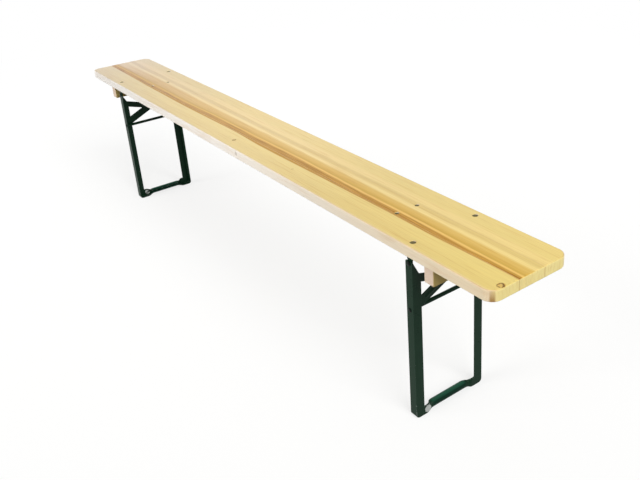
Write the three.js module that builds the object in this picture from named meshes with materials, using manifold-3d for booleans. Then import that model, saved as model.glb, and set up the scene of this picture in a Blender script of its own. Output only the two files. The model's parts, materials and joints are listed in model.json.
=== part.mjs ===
// Folding bench: a seat of three glued planks on two steel leg frames that fold flat under it.
// Millimetres. X runs along the bench, Y across it with the front at -Y, and Z up from the floor.

import * as THREE from 'three';
import { mergeVertices } from 'three/addons/utils/BufferGeometryUtils.js';
import Module from 'manifold-3d';

const wasm = await Module();
wasm.setup();

// Clearances
const FIT_GAP = 0.3;
const OVERRUN = 4;

// Seat board
const SEAT_LENGTH = 2200;
const SEAT_WIDTH = 230;
const SEAT_HEIGHT = 475;
const BOARD_THICKNESS = 28;
const BOARD_CORNER_RADIUS = 28;
const BOARD_ARRIS_RADIUS = 3;
const MIDDLE_PLANK_WIDTH = 76;
const BOARD_ARRIS_STEPS = 4;
const BOARD_UNDERSIDE = SEAT_HEIGHT - BOARD_THICKNESS;

// Battens under the board
const BATTEN_THICKNESS = 30;
const BATTEN_HEIGHT = 44;
const BATTEN_FROM_EDGE = 7;
const BATTEN_CHAMFER = 1.5;
const BATTEN_FROM_LEG = 40;
const BATTEN_SCREW_RADIUS = 2.3;
const BATTEN_SCREW_LENGTH = 62;
const BATTEN_SCREW_HEAD_RADIUS = 4.8;
const BATTEN_SCREW_HEAD_DEPTH = 3.2;
const BATTEN_SCREW_POINT = 6;
const SCREW_RECESS_WIDTH = 1.3;
const SCREW_RECESS_DEPTH = 1.6;
const SCREW_RECESS_SHARE = 2 / 3;
const BATTEN_LENGTH = SEAT_WIDTH - 2 * BATTEN_FROM_EDGE;

// Leg frames, of angle steel
const LEG_INSET = 248;
const LEG_FROM_EDGE = 7;
const STEEL = 3;
const SIDE_FLANGE = 25;
const EDGE_FLANGE = 23;
const FRAME_CORNER_RADIUS = 10;
const POST_HEAD = 6;
const POST_HEAD_RADIUS = 4;
const SLANT_DROP = 2;
const SLANT_HEIGHT = 42;
const LEG_WIDTH = SEAT_WIDTH - 2 * LEG_FROM_EDGE;
const LEG_FACE_X = SEAT_LENGTH / 2 - LEG_INSET;
const EDGE_FLANGE_X = LEG_FACE_X - EDGE_FLANGE;
const POST_Y = LEG_WIDTH / 2;

// Foot bar, pressed round in its middle and raised off the floor
const FOOT_BAR_LIFT = 3;
const FOOT_BAR_RADIUS = 10;
const FOOT_BAR_ROUND_LENGTH = 100;
const FOOT_BAR_CRIMP_LENGTH = 26;
const FOOT_BAR_OVERLAP = 5;

// Hinges
const HINGE_DROP = 20;
const HINGE_SETBACK = 11;
const RIVET_RADIUS = 3;
const RIVET_HEAD_RADIUS = 6;
const RIVET_HEAD_HEIGHT = 2.4;
const RIVET_TAIL_RADIUS = 4.5;
const RIVET_TAIL_HEIGHT = 1.2;
const BRACKET_WIDTH = 24;
const BRACKET_FOOT_LENGTH = 25;
const HINGE_X = LEG_FACE_X - HINGE_SETBACK;
const HINGE_Z = BOARD_UNDERSIDE - HINGE_DROP;
const POST_TOP = HINGE_Z + POST_HEAD;
const EAR_RADIUS = HINGE_SETBACK - STEEL - FIT_GAP;
const EAR_OUTER_Y = POST_Y - STEEL - FIT_GAP;
const EAR_INNER_Y = EAR_OUTER_Y - STEEL;

// Bolts through the board
const BOLT_RADIUS = 3;
const BOLT_HEAD_RADIUS = 7;
const BOLT_HEAD_HEIGHT = 2.4;
const BOLT_HEAD_GAP = 0.5;
const BOLT_SUNK = 0.2;
const BOLT_FROM_EAR = 10.7;
const HEAD_RIM_SHARE = 1 / 3;
const WASHER_RADIUS = 6;
const WASHER_THICKNESS = 1.4;
const NUT_WIDTH = 10;
const NUT_HEIGHT = 5;
const BOLT_TAIL = 2;
const BRACKET_BOLT_Y = EAR_OUTER_Y - BOLT_FROM_EAR;

// Tie rod
const TIE_ROD_BELOW_HINGE = 122;
const TIE_ROD_RADIUS = 5;
const TIE_ROD_INBOARD = 1.5;
const TENON_RADIUS = 2.5;
const TENON_HEAD_RADIUS = 4.4;
const TENON_HEAD_HEIGHT = 1.8;
const TIE_ROD_X = HINGE_X - TIE_ROD_INBOARD;
const TIE_ROD_Z = HINGE_Z - TIE_ROD_BELOW_HINGE;

// Cross plate, an X of pressed sheet against the posts' inboard side
const HUB_BELOW_HINGE = 68;
const UPPER_ARM_RISE = 32;
const LOWER_ARM_FALL = 48;
const UPPER_ARM_WIDTH = 20.5;
const LOWER_ARM_WIDTH = 26;
const RIB_WIDTH = 9;
const RIB_HEIGHT = 2.2;
const RIB_END_MARGIN = 20;
const RIB_END_STEPS = 3;
const RIB_SEGMENTS = 10;
const PLATE_FACE_X = LEG_FACE_X - STEEL;
const PLATE_BACK_X = PLATE_FACE_X - STEEL;
const HUB_Z = HINGE_Z - HUB_BELOW_HINGE;

// Lock stay, its pin in the cross plate's ears and its keeper under the board
const STAY_PIN_FROM_PLATE = 14;
const STAY_PIN_ABOVE_HUB = 13;
const STAY_PIN_RADIUS = 3;
const STAY_PIN_HEAD_RADIUS = 4.8;
const STAY_PIN_HEAD_HEIGHT = 2;
const STAY_WIDTH = 18;
const STAY_SIDE_GAP = 0.5;
const PLATE_EAR_RADIUS = 8;
const PLATE_EAR_ROOT = 22;
const KEEPER_FROM_HINGE = 133;
const KEEPER_LENGTH = 86;
const KEEPER_WIDTH = 28;
const KEEPER_SHEET = 2;
const KEEPER_BOLT_SPACING = 62;
const KEEPER_BOLT_HEAD_RADIUS = 5.5;
const KEEPER_CHEEK_DROP = 9;
const KEEPER_CHEEK_GAP = 2;
const KEEPER_CHEEK_CHAMFER = 5;
const DIMPLE_RADIUS = 4;
const DIMPLE_HEIGHT = 2;
const DIMPLE_FROM_BOLTS = 3;
const STAY_END_LENGTH = 26;
const STAY_BEND_FROM_BOLTS = 16;
const STAY_END_RISE_GAP = 0.5;
const STAY_BEND_RADIUS = 12;
const STAY_WINDOW_WIDTH = 10;
const STAY_WINDOW_LENGTH = 14;
const STAY_WINDOW_PLAY = 3;
const PIN_X = PLATE_BACK_X - STAY_PIN_FROM_PLATE;
const PIN_Z = HUB_Z + STAY_PIN_ABOVE_HUB;
const EYE_BORE_RADIUS = STAY_PIN_RADIUS + FIT_GAP;
const EYE_OUTER_RADIUS = EYE_BORE_RADIUS + STEEL;
const PLATE_EAR_Y = STAY_WIDTH / 2 + STAY_SIDE_GAP;
const KEEPER_X = HINGE_X - KEEPER_FROM_HINGE;
const KEEPER_UNDERSIDE = BOARD_UNDERSIDE - KEEPER_SHEET;

// Facets round each kind of curve
const SMALL_SEGMENTS = 14;
const HEAD_SEGMENTS = 20;
const ARC_STEPS = 6;
const DOME_STEPS = 3;
const ROUND_BAR_STEPS = 16;
const CRIMP_STEPS = 7;

// Finishes
const PALE_PLANK = { color: 0xe8d596, roughness: 0.35, metalness: 0 };
const STRIPED_PLANK = { color: 0xd9b26b, roughness: 0.35, metalness: 0 };
const BATTEN_WOOD = { color: 0xe2c9b0, roughness: 0.6, metalness: 0 };
const GREEN_COAT = { color: 0x20352a, roughness: 0.3, metalness: 0.2 };
const DARK_BOLT = { color: 0x5a5f4c, roughness: 0.5, metalness: 0.8 };
const ZINC = { color: 0xa9adab, roughness: 0.4, metalness: 0.9 };

// Axes of a flat shape drawn in XZ or in YZ, and of a turned piece that stands on Z
const SHAPE_XZ = new THREE.Matrix4().makeBasis(
  new THREE.Vector3(1, 0, 0), new THREE.Vector3(0, 0, 1), new THREE.Vector3(0, -1, 0));
const SHAPE_YZ = new THREE.Matrix4().makeBasis(
  new THREE.Vector3(0, 1, 0), new THREE.Vector3(0, 0, 1), new THREE.Vector3(1, 0, 0));

// Solids: each is made from a closed geometry, joined or cut, and turned back into a geometry

function toSolid(geometry) {
  const bare = geometry.clone();
  bare.deleteAttribute('normal');
  bare.deleteAttribute('uv');
  const welded = mergeVertices(bare);
  const vertProperties = Float32Array.from(welded.attributes.position.array);
  const corners = Array.from(welded.index.array);
  const triangles = corners.flatMap((a, i) => (i % 3 ? [] : [[a, corners[i + 1], corners[i + 2]]]));
  const triVerts = Uint32Array.from(triangles.filter((triangle) => new Set(triangle).size === 3).flat());
  return new wasm.Manifold(new wasm.Mesh({ numProp: 3, vertProperties, triVerts }));
}

function toGeometry(solid) {
  const { vertProperties, triVerts } = solid.getMesh();
  const geometry = new THREE.BufferGeometry();
  geometry.setAttribute('position', new THREE.BufferAttribute(Float32Array.from(vertProperties), 3));
  geometry.setIndex(new THREE.BufferAttribute(Uint32Array.from(triVerts), 1));
  geometry.computeVertexNormals();
  return geometry;
}

function join(...geometries) {
  return toGeometry(geometries.map(toSolid).reduce((whole, next) => whole.add(next)));
}

function cut(geometry, ...tools) {
  return toGeometry(tools.map(toSolid).reduce((whole, tool) => whole.subtract(tool), toSolid(geometry)));
}

function common(geometry, other) {
  return toGeometry(toSolid(geometry).intersect(toSolid(other)));
}

// Basic shapes

function box(low, high) {
  const size = high.map((value, axis) => value - low[axis]);
  const centre = high.map((value, axis) => (value + low[axis]) / 2);
  return new THREE.BoxGeometry(...size).translate(...centre);
}

function polygon(points) {
  return new THREE.Shape(points.map(([x, y]) => new THREE.Vector2(x, y)));
}

function arcPoints([x, y], radius, from, to, steps = ARC_STEPS) {
  return Array.from({ length: steps + 1 }, (_, i) => {
    const angle = from + (to - from) * (i / steps);
    return [x + radius * Math.cos(angle), y + radius * Math.sin(angle)];
  });
}

function extrude(shape, depth) {
  return new THREE.ExtrudeGeometry(shape, { depth, bevelEnabled: false, curveSegments: ARC_STEPS });
}

// A flat shape drawn as [x, z], filled from y = low to y = high
function extrudeAcross(points, low, high) {
  return extrude(polygon(points), high - low).applyMatrix4(SHAPE_XZ).translate(0, high, 0);
}

// A flat shape drawn as [y, z], filled from x = low to x = high
function extrudeAlong(points, low, high) {
  return extrude(polygon(points), high - low).applyMatrix4(SHAPE_YZ).translate(low, 0, 0);
}

// A turned piece about a line along Y, from a profile of [radius, y]
function turnedAcross(profile, x, z, segments = SMALL_SEGMENTS) {
  const points = profile.map(([radius, along]) => new THREE.Vector2(radius, along));
  return new THREE.LatheGeometry(points, segments).translate(x, 0, z);
}

// A turned piece about a line along Z, from a profile of [radius, z]
function turnedUpright(profile, x, y, segments = SMALL_SEGMENTS) {
  const points = profile.map(([radius, up]) => new THREE.Vector2(radius, up));
  return new THREE.LatheGeometry(points, segments).applyMatrix4(SHAPE_XZ).translate(x, y, 0);
}

function drillAcross(radius, x, z, low, high) {
  return turnedAcross([[0, low], [radius, low], [radius, high], [0, high]], x, z);
}

function drillUpright(radius, x, y, low, high) {
  return turnedUpright([[0, low], [radius, low], [radius, high], [0, high]], x, y);
}

// The outline of a bent strip, from its centreline: each point moves half a thickness along its mitre
function stripOutline(centreline, thickness) {
  const points = centreline.map(([x, y]) => new THREE.Vector2(x, y));
  const normals = points.slice(1).map((point, i) => {
    const along = point.clone().sub(points[i]).normalize();
    return new THREE.Vector2(-along.y, along.x);
  });
  const mitres = points.map((_, i) => {
    const before = normals[Math.max(i - 1, 0)];
    const after = normals[Math.min(i, normals.length - 1)];
    const middle = before.clone().add(after).normalize();
    return middle.divideScalar(middle.dot(after));
  });
  const side = (sign) => points.map((point, i) =>
    point.clone().addScaledVector(mitres[i], sign * thickness / 2).toArray());
  return [...side(-1), ...side(1).reverse()];
}

// A closed skin through equal outlines of [x, z], drawn anticlockwise, each at its own rising y
function loft(outlines, stations) {
  const count = outlines[0].length;
  const rings = outlines.flatMap((outline, i) => outline.map(([x, z]) => [x, stations[i], z]));
  const index = [];
  for (let ring = 0; ring < outlines.length - 1; ring += 1) {
    for (let i = 0; i < count; i += 1) {
      const a = ring * count + i;
      const b = ring * count + (i + 1) % count;
      index.push(a, b + count, b, a, a + count, b + count);
    }
  }
  const capTriangles = (outline) =>
    THREE.ShapeUtils.triangulateShape(outline.map(([x, z]) => new THREE.Vector2(x, z)), []);
  capTriangles(outlines[0]).forEach(([a, b, c]) => index.push(a, b, c));
  const last = (outlines.length - 1) * count;
  capTriangles(outlines.at(-1)).forEach(([a, b, c]) => index.push(last + c, last + b, last + a));
  const geometry = new THREE.BufferGeometry();
  geometry.setAttribute('position', new THREE.Float32BufferAttribute(rings.flat(), 3));
  geometry.setIndex(index);
  return geometry;
}

function piece(name, geometry, finish) {
  const mesh = new THREE.Mesh(geometry, new THREE.MeshStandardMaterial(finish));
  mesh.name = name;
  return mesh;
}

// Bolts with a low domed head let into the board, their washers and their nuts

function domedHead(radius, height, base) {
  const rim = height * HEAD_RIM_SHARE;
  const dome = arcPoints([0, 0], 1, 0, Math.PI / 2, DOME_STEPS).map(([across, up]) =>
    [radius * across, base + rim + (height - rim) * up]);
  return [[radius, base], ...dome];
}

function boardBolt(x, y, headRadius, tailZ) {
  const seat = SEAT_HEIGHT - BOLT_SUNK - BOLT_HEAD_HEIGHT;
  const profile = [[0, tailZ], [BOLT_RADIUS, tailZ], [BOLT_RADIUS, seat],
    ...domedHead(headRadius, BOLT_HEAD_HEIGHT, seat)];
  return turnedUpright(profile, x, y, HEAD_SEGMENTS);
}

function boardBoltHole(x, y, headRadius) {
  const seat = SEAT_HEIGHT - BOLT_SUNK - BOLT_HEAD_HEIGHT - FIT_GAP;
  const reach = headRadius + BOLT_HEAD_GAP;
  const profile = [[0, BOARD_UNDERSIDE - OVERRUN], [BOLT_RADIUS + FIT_GAP, BOARD_UNDERSIDE - OVERRUN],
    [BOLT_RADIUS + FIT_GAP, seat], [reach, seat], [reach, SEAT_HEIGHT + OVERRUN], [0, SEAT_HEIGHT + OVERRUN]];
  return turnedUpright(profile, x, y, HEAD_SEGMENTS);
}

function hexNut(x, y, top) {
  const corner = NUT_WIDTH / 2 / Math.cos(Math.PI / 6);
  const outline = arcPoints([x, y], corner, Math.PI / 6, Math.PI * 13 / 6, 6).slice(0, -1);
  const blank = extrude(polygon(outline), NUT_HEIGHT).translate(0, 0, top - NUT_HEIGHT);
  const bore = drillUpright(BOLT_RADIUS + FIT_GAP, x, y, top - NUT_HEIGHT - OVERRUN, top + OVERRUN);
  return cut(blank, bore);
}

function washer(x, y, top) {
  const bore = BOLT_RADIUS + FIT_GAP;
  const low = top - WASHER_THICKNESS;
  const profile = [[bore, low], [WASHER_RADIUS, low], [WASHER_RADIUS, top], [bore, top], [bore, low]];
  return turnedUpright(profile, x, y);
}

// Battens and their screws, one screw in each plank

const PLANKS = [
  { name: 'plank_front', low: -SEAT_WIDTH / 2, high: -MIDDLE_PLANK_WIDTH / 2, finish: PALE_PLANK },
  { name: 'plank_middle', low: -MIDDLE_PLANK_WIDTH / 2, high: MIDDLE_PLANK_WIDTH / 2, finish: STRIPED_PLANK },
  { name: 'plank_rear', low: MIDDLE_PLANK_WIDTH / 2, high: SEAT_WIDTH / 2, finish: PALE_PLANK },
];
const BATTEN_INNER_X = LEG_FACE_X + BATTEN_FROM_LEG;
const BATTEN_X = BATTEN_INNER_X + BATTEN_THICKNESS / 2;
const BATTEN_UNDERSIDE = BOARD_UNDERSIDE - BATTEN_HEIGHT;

function battenScrewProfile(gap) {
  const head = BATTEN_UNDERSIDE;
  const headRadius = BATTEN_SCREW_HEAD_RADIUS + gap;
  const shankRadius = BATTEN_SCREW_RADIUS + gap;
  const tip = head + BATTEN_SCREW_LENGTH + gap;
  return [[0, head - gap], [headRadius, head - gap], [headRadius, head + gap],
    [shankRadius, head + BATTEN_SCREW_HEAD_DEPTH + gap], [shankRadius, tip - BATTEN_SCREW_POINT], [0, tip]];
}

function battenScrew(x, y) {
  const blank = turnedUpright(battenScrewProfile(0), x, y);
  const slot = SCREW_RECESS_WIDTH / 2;
  const reach = BATTEN_SCREW_HEAD_RADIUS * SCREW_RECESS_SHARE;
  const low = BATTEN_UNDERSIDE - OVERRUN;
  const high = BATTEN_UNDERSIDE + SCREW_RECESS_DEPTH;
  return cut(blank, box([x - slot, y - reach, low], [x + slot, y + reach, high]),
    box([x - reach, y - slot, low], [x + reach, y + slot, high]));
}

const battenScrewHole = (x, y) => turnedUpright(battenScrewProfile(FIT_GAP), x, y);

function chamferedBatten() {
  const side = BATTEN_THICKNESS / 2;
  const end = BATTEN_LENGTH / 2;
  const bevel = { depth: BATTEN_LENGTH - 2 * BATTEN_CHAMFER, bevelSize: BATTEN_CHAMFER,
    bevelThickness: BATTEN_CHAMFER, bevelSegments: 1 };
  const inner = polygon([
    [BATTEN_X - side + BATTEN_CHAMFER, BATTEN_UNDERSIDE + BATTEN_CHAMFER],
    [BATTEN_X + side - BATTEN_CHAMFER, BATTEN_UNDERSIDE + BATTEN_CHAMFER],
    [BATTEN_X + side - BATTEN_CHAMFER, BOARD_UNDERSIDE - BATTEN_CHAMFER],
    [BATTEN_X - side + BATTEN_CHAMFER, BOARD_UNDERSIDE - BATTEN_CHAMFER]]);
  return new THREE.ExtrudeGeometry(inner, bevel).applyMatrix4(SHAPE_XZ).translate(0, end - BATTEN_CHAMFER, 0);
}

function battenPieces(nameOf) {
  const places = PLANKS.map(({ low, high }) => (low + high) / 2);
  const holes = places.map((y) => battenScrewHole(BATTEN_X, y));
  return [piece(nameOf('batten'), cut(chamferedBatten(), ...holes), BATTEN_WOOD),
    ...places.map((y) => piece(nameOf('batten_screw', y), battenScrew(BATTEN_X, y), ZINC))];
}

// Seat planks, cut from one board with rounded corners and arrises

const KEEPER_BOLT_Y = KEEPER_BOLT_SPACING / 2;
const BOARD_BOLTS = [
  { x: HINGE_X, y: BRACKET_BOLT_Y, head: BOLT_HEAD_RADIUS },
  { x: KEEPER_X, y: KEEPER_BOLT_Y, head: KEEPER_BOLT_HEAD_RADIUS },
];

function boardBlank() {
  const x = SEAT_LENGTH / 2 - BOARD_ARRIS_RADIUS;
  const y = SEAT_WIDTH / 2 - BOARD_ARRIS_RADIUS;
  const radius = BOARD_CORNER_RADIUS - BOARD_ARRIS_RADIUS;
  const quarter = Math.PI / 2;
  const outline = [[1, -1, -1], [1, 1, 0], [-1, 1, 1], [-1, -1, 2]].flatMap(([signX, signY, turn]) => {
    const centre = [signX * (x - radius), signY * (y - radius)];
    return arcPoints(centre, radius, turn * quarter, (turn + 1) * quarter, 2 * ARC_STEPS);
  });
  const bevel = { depth: BOARD_THICKNESS - 2 * BOARD_ARRIS_RADIUS, bevelSize: BOARD_ARRIS_RADIUS,
    bevelThickness: BOARD_ARRIS_RADIUS, bevelSegments: BOARD_ARRIS_STEPS };
  const blank = new THREE.ExtrudeGeometry(polygon(outline), bevel);
  return blank.translate(0, 0, BOARD_UNDERSIDE + BOARD_ARRIS_RADIUS);
}

function plankPieces() {
  const blank = boardBlank();
  const ends = [1, -1];
  const boltHoles = BOARD_BOLTS.flatMap(({ x, y, head }) => ends.flatMap((signX) =>
    ends.map((signY) => boardBoltHole(signX * x, signY * y, head))));
  const screwHoles = PLANKS.flatMap(({ low, high }) => ends.map((signX) =>
    battenScrewHole(signX * BATTEN_X, (low + high) / 2)));
  const reach = SEAT_LENGTH / 2 + OVERRUN;
  return PLANKS.map(({ name, low, high, finish }) => {
    const lane = box([-reach, low, BOARD_UNDERSIDE - OVERRUN], [reach, high, SEAT_HEIGHT + OVERRUN]);
    return piece(name, cut(common(blank, lane), ...boltHoles, ...screwHoles), finish);
  });
}

// Hinge bracket: a foot bolted under the board and an ear inside the post's edge flange

function hingeBracket(side) {
  const shoulder = POST_TOP + FIT_GAP;
  const foot = BOARD_UNDERSIDE - STEEL;
  const left = HINGE_X - BRACKET_WIDTH / 2;
  const right = HINGE_X + BRACKET_WIDTH / 2;
  const onSide = (from, to) => (side > 0 ? [from, to] : [-to, -from]);
  const earY = onSide(EAR_INNER_Y, EAR_OUTER_Y);
  const footY = onSide(EAR_OUTER_Y - BRACKET_FOOT_LENGTH, EAR_OUTER_Y);
  const ear = extrudeAcross([[right, BOARD_UNDERSIDE], [left, BOARD_UNDERSIDE],
    [left, foot], [HINGE_X - EAR_RADIUS, shoulder],
    ...arcPoints([HINGE_X, HINGE_Z], EAR_RADIUS, Math.PI, 2 * Math.PI, 2 * ARC_STEPS),
    [HINGE_X + EAR_RADIUS, shoulder], [right, foot]], ...earY);
  const plate = box([left, footY[0], foot], [right, footY[1], BOARD_UNDERSIDE]);
  const rivetHole = drillAcross(RIVET_RADIUS + FIT_GAP, HINGE_X, HINGE_Z, -POST_Y, POST_Y);
  const boltHole = drillUpright(BOLT_RADIUS + FIT_GAP, HINGE_X, side * BRACKET_BOLT_Y, foot - OVERRUN,
    BOARD_UNDERSIDE + OVERRUN);
  return cut(join(ear, plate), rivetHole, boltHole);
}

function hingeRivet(side) {
  const outer = POST_Y + FIT_GAP;
  const inner = EAR_INNER_Y - FIT_GAP;
  const profile = [[0, inner - RIVET_TAIL_HEIGHT], [RIVET_TAIL_RADIUS, inner - RIVET_TAIL_HEIGHT],
    [RIVET_TAIL_RADIUS, inner], [RIVET_RADIUS, inner], [RIVET_RADIUS, outer],
    ...domedHead(RIVET_HEAD_RADIUS, RIVET_HEAD_HEIGHT, outer)];
  const rivet = turnedAcross(profile, 0, 0);
  return (side > 0 ? rivet : rivet.rotateX(Math.PI)).translate(HINGE_X, 0, HINGE_Z);
}

function bracketPieces(nameOf) {
  const foot = BOARD_UNDERSIDE - STEEL;
  const nutTop = foot - WASHER_THICKNESS;
  const tail = nutTop - NUT_HEIGHT - BOLT_TAIL;
  return [-1, 1].flatMap((side) => {
    const y = side * BRACKET_BOLT_Y;
    return [
      piece(nameOf('hinge_bracket', y), hingeBracket(side), GREEN_COAT),
      piece(nameOf('hinge_rivet', y), hingeRivet(side), GREEN_COAT),
      piece(nameOf('bracket_bolt', y), boardBolt(HINGE_X, y, BOLT_HEAD_RADIUS, tail), DARK_BOLT),
      piece(nameOf('bracket_washer', y), washer(HINGE_X, y, foot), ZINC),
      piece(nameOf('bracket_nut', y), hexNut(HINGE_X, y, nutTop), ZINC),
    ];
  });
}

// Leg frame: two posts with a side flange and an edge flange, and the foot bar between them

const ROUND_END_Y = FOOT_BAR_ROUND_LENGTH / 2;
const ANGLE_END_Y = ROUND_END_Y + FOOT_BAR_CRIMP_LENGTH;

function sideFlange() {
  const inner = POST_Y - SIDE_FLANGE;
  const slantTop = POST_TOP - SLANT_DROP;
  const corner = [POST_Y - FRAME_CORNER_RADIUS, FRAME_CORNER_RADIUS];
  return extrudeAlong([[ANGLE_END_Y, 0],
    ...arcPoints(corner, FRAME_CORNER_RADIUS, -Math.PI / 2, 0),
    [POST_Y, slantTop], [POST_Y - STEEL, slantTop], [inner, slantTop - SLANT_HEIGHT],
    [inner, SIDE_FLANGE], [ANGLE_END_Y, SIDE_FLANGE]], PLATE_FACE_X, LEG_FACE_X);
}

function edgeFlange() {
  const corner = [POST_Y - FRAME_CORNER_RADIUS, FRAME_CORNER_RADIUS];
  const band = extrudeAlong([[ANGLE_END_Y, 0],
    ...arcPoints(corner, FRAME_CORNER_RADIUS, -Math.PI / 2, 0),
    [POST_Y, HINGE_Z], [POST_Y - STEEL, HINGE_Z],
    ...arcPoints(corner, FRAME_CORNER_RADIUS - STEEL, 0, -Math.PI / 2),
    [ANGLE_END_Y, STEEL]], EDGE_FLANGE_X, LEG_FACE_X);
  const low = HINGE_Z - OVERRUN;
  const cornerZ = POST_TOP - POST_HEAD_RADIUS;
  const head = extrudeAcross([[EDGE_FLANGE_X, low], [LEG_FACE_X, low],
    ...arcPoints([LEG_FACE_X - POST_HEAD_RADIUS, cornerZ], POST_HEAD_RADIUS, 0, Math.PI / 2),
    ...arcPoints([EDGE_FLANGE_X + POST_HEAD_RADIUS, cornerZ], POST_HEAD_RADIUS, Math.PI / 2, Math.PI)],
  POST_Y - STEEL, POST_Y);
  return join(band, head);
}

// The foot bar's strip, from the angle's L at 0 to the pressed round at 1, with the corner kept in its middle
function footBarCentreline(roundShare) {
  const faceX = LEG_FACE_X - STEEL / 2;
  const radius = FOOT_BAR_RADIUS - STEEL / 2;
  const upLength = SIDE_FLANGE - STEEL / 2;
  const backLength = EDGE_FLANGE - STEEL / 2;
  const centre = [faceX - radius, FOOT_BAR_LIFT + FOOT_BAR_RADIUS];
  return Array.from({ length: ROUND_BAR_STEPS + 1 }, (_, i) => {
    const share = 1 - 2 * i / ROUND_BAR_STEPS;
    const up = Math.max(share, 0) * upLength;
    const back = Math.max(-share, 0) * backLength;
    const angle = (up - back) / radius;
    const round = [centre[0] + radius * Math.cos(angle), centre[1] + radius * Math.sin(angle)];
    const flat = [faceX - back, STEEL / 2 + up];
    return flat.map((value, axis) => value + (round[axis] - value) * roundShare);
  });
}

function footBar() {
  const crimp = Array.from({ length: CRIMP_STEPS + 1 }, (_, i) => i / CRIMP_STEPS);
  const eased = crimp.map((share) => (1 - Math.cos(Math.PI * share)) / 2);
  const shares = [0, ...eased, ...eased.slice().reverse(), 0];
  const halfStations = [ANGLE_END_Y + FOOT_BAR_OVERLAP,
    ...crimp.map((share) => ANGLE_END_Y - share * FOOT_BAR_CRIMP_LENGTH)];
  const stations = [...halfStations.map((y) => -y), ...halfStations.slice().reverse()];
  return loft(shares.map((share) => stripOutline(footBarCentreline(share), STEEL)), stations);
}

// Mirrors a geometry in Y and turns its triangles round to keep them facing out
function mirroredAcross(geometry) {
  const mirrored = geometry.clone().scale(1, -1, 1);
  const corners = Array.from(mirrored.index.array);
  mirrored.setIndex(corners.reverse());
  return mirrored;
}

function legFrame() {
  const half = join(sideFlange(), edgeFlange());
  const reach = POST_Y + OVERRUN;
  return cut(join(half, mirroredAcross(half), footBar()),
    drillAcross(RIVET_RADIUS + FIT_GAP, HINGE_X, HINGE_Z, -reach, reach),
    drillAcross(TENON_RADIUS + FIT_GAP, TIE_ROD_X, TIE_ROD_Z, -reach, reach));
}

// A turned profile that is the same both ways from y = 0, from its outer half
function bothWays(half) {
  return [...half.map(([radius, along]) => [radius, -along]).reverse(), ...half];
}

function tieRod() {
  const shoulder = POST_Y - STEEL - FIT_GAP;
  const half = [[TIE_ROD_RADIUS, shoulder], [TENON_RADIUS, shoulder], [TENON_RADIUS, POST_Y + FIT_GAP],
    ...domedHead(TENON_HEAD_RADIUS, TENON_HEAD_HEIGHT, POST_Y + FIT_GAP)];
  return turnedAcross(bothWays(half), TIE_ROD_X, TIE_ROD_Z);
}

// Cross plate: four arms from a hub, each with a pressed rib, and two ears that carry the stay's pin

const ARM_END_Y = POST_Y - STEEL - FIT_GAP;
const ARMS = [
  { side: 1, rise: UPPER_ARM_RISE, width: UPPER_ARM_WIDTH },
  { side: -1, rise: UPPER_ARM_RISE, width: UPPER_ARM_WIDTH },
  { side: 1, rise: -LOWER_ARM_FALL, width: LOWER_ARM_WIDTH },
  { side: -1, rise: -LOWER_ARM_FALL, width: LOWER_ARM_WIDTH },
];

function arm({ side, rise, width }) {
  const half = width / 2 / Math.cos(Math.atan2(rise, ARM_END_Y));
  const end = side * ARM_END_Y;
  const endZ = HUB_Z + rise;
  return extrudeAlong([[0, HUB_Z - half], [end, endZ - half], [end, endZ + half], [0, HUB_Z + half]],
    PLATE_BACK_X, PLATE_FACE_X);
}

function rib({ side, rise }) {
  const slope = Math.atan2(rise, side * ARM_END_Y);
  const clearEnd = (POST_Y - SIDE_FLANGE) / Math.abs(Math.cos(slope));
  const straight = clearEnd - 2 * RIB_END_MARGIN;
  const middle = clearEnd / 2;
  return new THREE.CapsuleGeometry(RIB_WIDTH / 2, straight, RIB_END_STEPS, RIB_SEGMENTS)
    .scale(2 * RIB_HEIGHT / RIB_WIDTH, 1, 1)
    .rotateX(slope)
    .translate(PLATE_FACE_X, middle * Math.cos(slope), HUB_Z + middle * Math.sin(slope));
}

function plateEar(side) {
  const root = PLATE_BACK_X + STEEL / 2;
  const outline = [[root, HUB_Z - PLATE_EAR_ROOT / 2],
    ...arcPoints([PIN_X, PIN_Z], PLATE_EAR_RADIUS, Math.PI * 4 / 3, Math.PI / 3, 2 * ARC_STEPS),
    [root, HUB_Z + PLATE_EAR_ROOT / 2]];
  const low = side > 0 ? PLATE_EAR_Y : -PLATE_EAR_Y - STEEL;
  return extrudeAcross(outline, low, low + STEEL);
}

function crossPlate() {
  const reach = PLATE_EAR_Y + STEEL + OVERRUN;
  return cut(join(...ARMS.map(arm), ...ARMS.map(rib), plateEar(1), plateEar(-1)),
    drillAcross(STAY_PIN_RADIUS + FIT_GAP, PIN_X, PIN_Z, -reach, reach));
}

function stayPin() {
  const grip = PLATE_EAR_Y + STEEL + FIT_GAP;
  const half = [[STAY_PIN_RADIUS, grip], [STAY_PIN_HEAD_RADIUS, grip],
    [STAY_PIN_HEAD_RADIUS, grip + STAY_PIN_HEAD_HEIGHT], [0, grip + STAY_PIN_HEAD_HEIGHT]];
  return turnedAcross(bothWays(half), PIN_X, PIN_Z);
}

// Lock stay: a rolled eye on the pin, a strip that rises to the board, and an end that lies along it

const DIMPLE_X = KEEPER_X + DIMPLE_FROM_BOLTS;
const STAY_EYE_OFFSET = (EYE_BORE_RADIUS + EYE_OUTER_RADIUS) / 2;
const STAY_BEND_X = KEEPER_X + STAY_BEND_FROM_BOLTS;
const STAY_END_Z = KEEPER_UNDERSIDE - STAY_END_RISE_GAP - STEEL / 2;
const STAY_REACH = Math.hypot(PIN_X - STAY_BEND_X, STAY_END_Z - PIN_Z);
const STAY_SLOPE = Math.atan2(STAY_END_Z - PIN_Z, PIN_X - STAY_BEND_X);
const STAY_RISE = STAY_SLOPE - Math.asin(STAY_EYE_OFFSET / STAY_REACH);

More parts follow.
